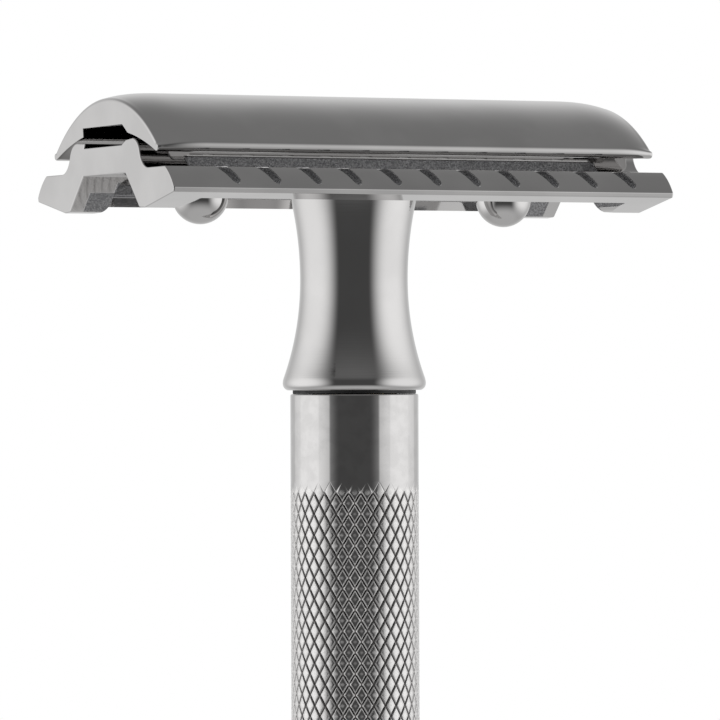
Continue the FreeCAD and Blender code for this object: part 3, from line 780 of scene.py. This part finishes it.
def waist_radius_at(drop):
    """The neck's radius this far under the flange: two hollow arcs that meet at the waist."""
    neck_top_drop = -rise_of(NECK_HIGH.z)
    end_radius, end_drop = (NECK_TOP, neck_top_drop) if drop < WAIST_DROP else (NECK_LIP, NECK_LIP_DROP)
    spread = end_radius - WAIST
    bend = (spread ** 2 + (end_drop - WAIST_DROP) ** 2) / (2 * spread)
    return WAIST + bend - math.sqrt(bend ** 2 - (drop - WAIST_DROP) ** 2)


def build_turning(name, profile, sharp, body, node, material):
    """Turn a closed profile of (radius, height over the flange) about Z. Sharp corners are given by index."""
    bm = bmesh.new()
    rings = [round_ring(bm, point.x, FLANGE_Z + point.y, TURNED_SEGMENTS) for point in profile]
    join_rings(bm, rings + rings[:1])
    shade_smooth(bm)
    for index in sharp:
        sharpen_ring(bm, rings[index])
    new_piece(name, bm, body, node, material)


def build_neck(material):
    """The waisted neck, with a full round lip over the dark ring. Its bore is stepped for the ring, the bush,
    the spindle and the chamber under the plate."""
    foot = rise_of(NECK_LOW.z)
    top = rise_of(NECK_HIGH.z)
    bush_top = rise_of(BUSH_HIGH.z)
    chamber_floor = rise_of(CHAMBER_Z)
    outside = []
    for step in range(WAIST_STEPS + 1):
        drop = -top + (NECK_LIP_START + top) * step / WAIST_STEPS
        outside.append(Vector((waist_radius_at(drop), -drop)))
    along = (outside[-1] - outside[-2]).normalized()
    control = outside[-1] + along * NECK_LIP_BULGE
    outside += curve_points(outside[-1], control, Vector((NECK_FOOT, foot)), NECK_LIP_STEPS)
    inside = [Vector(point) for point in (
        (WASHER_HIGH.x, foot), (WASHER_HIGH.x, rise_of(WASHER_HIGH.z)), (BUSH_HIGH.x, rise_of(BUSH_LOW.z)),
        (BUSH_HIGH.x, bush_top), (SPINDLE_BORE, bush_top), (SPINDLE_BORE, chamber_floor),
        (CHAMBER, chamber_floor), (CHAMBER, top))]
    profile = outside + inside
    sharp = [0, *range(len(outside) - 1, len(profile))]
    build_turning("turned_neck", profile, sharp, "head", "neck", material)


def build_washer(material):
    """The dark ring. It fills the gap down to a hair above the handle."""
    foot = rise_of(SLEEVE_HIGH.z) + WASHER_GAP
    top = rise_of(WASHER_HIGH.z)
    outer = WASHER_HIGH.x
    profile = [Vector(point) for point in (
        (SPINDLE_BORE, top), (SPINDLE_BORE, foot), (outer - WASHER_EDGE, foot), (outer, foot + WASHER_EDGE),
        (outer, top))]
    sharp = range(len(profile))
    build_turning("dark_ring", profile, sharp, "head", "thrust_washer", material)


# ---------------------------------------------------------------- the threaded stud

THREAD_PITCH = 0.8 * MM
THREAD_DEPTH = 0.44 * MM
# The share of the pitch that is flat at the crest, and again at the root.
THREAD_FLAT = 0.12
# The thread starts this far under the cap's channel, and reaches its full depth over the fade.
THREAD_DELAY = 0.4 * MM
THREAD_FADE = 0.8 * MM
STUD_ROOT = 1.9 * MM
STUD_CHAMFER = 0.6 * MM
STUD_SEGMENTS = 64
RINGS_PER_TURN = 16
CHANNEL_ROOF = FLANGE_Z + ROOF_RISE


def thread_radius(angle, height):
    """The stud's radius on a right-hand thread with narrow flats, run out under the cap and at the tip."""
    phase = (height / THREAD_PITCH - angle / (2 * math.pi)) % 1.0
    flank = (abs(phase - 0.5) * 2 - THREAD_FLAT) / (1 - 2 * THREAD_FLAT)
    crest = min(1.0, max(0.0, flank))
    fade = max(0.0, min(1.0, (CHANNEL_ROOF - THREAD_DELAY - height) / THREAD_FADE))
    cone = STUD_HIGH.x - STUD_CHAMFER + (height - STUD_LOW.z)
    return min(STUD_HIGH.x - THREAD_DEPTH * fade * (1.0 - crest), cone)


def thread_ring(bm, height):
    """A ring of vertices on the stud's thread."""
    ring = []
    for angle in angles_round(STUD_SEGMENTS):
        radius = thread_radius(angle, height)
        ring.append(bm.verts.new((radius * math.cos(angle), radius * math.sin(angle), height)))
    return ring


def build_stud(material):
    """The threaded stud, with its plain root in the cap."""
    bm = bmesh.new()
    length = CHANNEL_ROOF - STUD_LOW.z
    count = round(length / THREAD_PITCH * RINGS_PER_TURN)
    rings = [thread_ring(bm, STUD_LOW.z + length * step / count) for step in range(count + 1)]
    rings += [round_ring(bm, STUD_ROOT, height, STUD_SEGMENTS) for height in (CHANNEL_ROOF, STUD_HIGH.z)]
    join_rings(bm, rings)
    shade_smooth(bm)
    close_ends(bm, rings)
    for ring in rings[:1] + rings[-3:]:
        sharpen_ring(bm, ring)
    new_piece("threaded_stud", bm, "cap", "cap_stud", material)


# ---------------------------------------------------------------- run

build_world()
build_floor()
build_light()
build_camera()
bpy.context.scene.view_settings.view_transform = "Standard"

polished = plated("polished_dark_chrome", ripple_scale=(300.0, 300.0, 300.0), ripple=0.03, roughness=0.03)
turned = plated("turned_dark_chrome", ripple_scale=(200.0, 200.0, 9000.0), ripple=0.12, roughness=0.035)
acetal = black_acetal()
steel = turned_metal("turned_steel", STEEL, roughness=0.22, groove_scale=9000.0)
finishes = {
    "base_plate": cast_plated(),
    "neck": turned,
    "pommel": turned,
    "neck_bush": sintered_bronze(),
    "thrust_washer": acetal,
    "backing_washer": steel,
    "cap_stud": steel,
    "alignment_pin_left": steel,
    "alignment_pin_right": steel,
    "core_rod": steel,
    "wave_washer": turned_metal("blued_spring_steel", BLUED_STEEL, roughness=0.3, groove_scale=4000.0),
    "retaining_ring": turned_metal("phosphated_ring_steel", PHOSPHATED_STEEL, roughness=0.45,
                                   groove_scale=5000.0),
    "spindle": turned_metal("turned_brass", BRASS, roughness=0.2, groove_scale=7000.0),
    "top_cap": polished,
    "handle_sleeve": turned,
}
for node, material in finishes.items():
    dress(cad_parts[node].data, material)
build_cap(polished)
build_stud(steel)
build_neck(turned)
build_washer(acetal)
build_sleeve(worn_knurl())
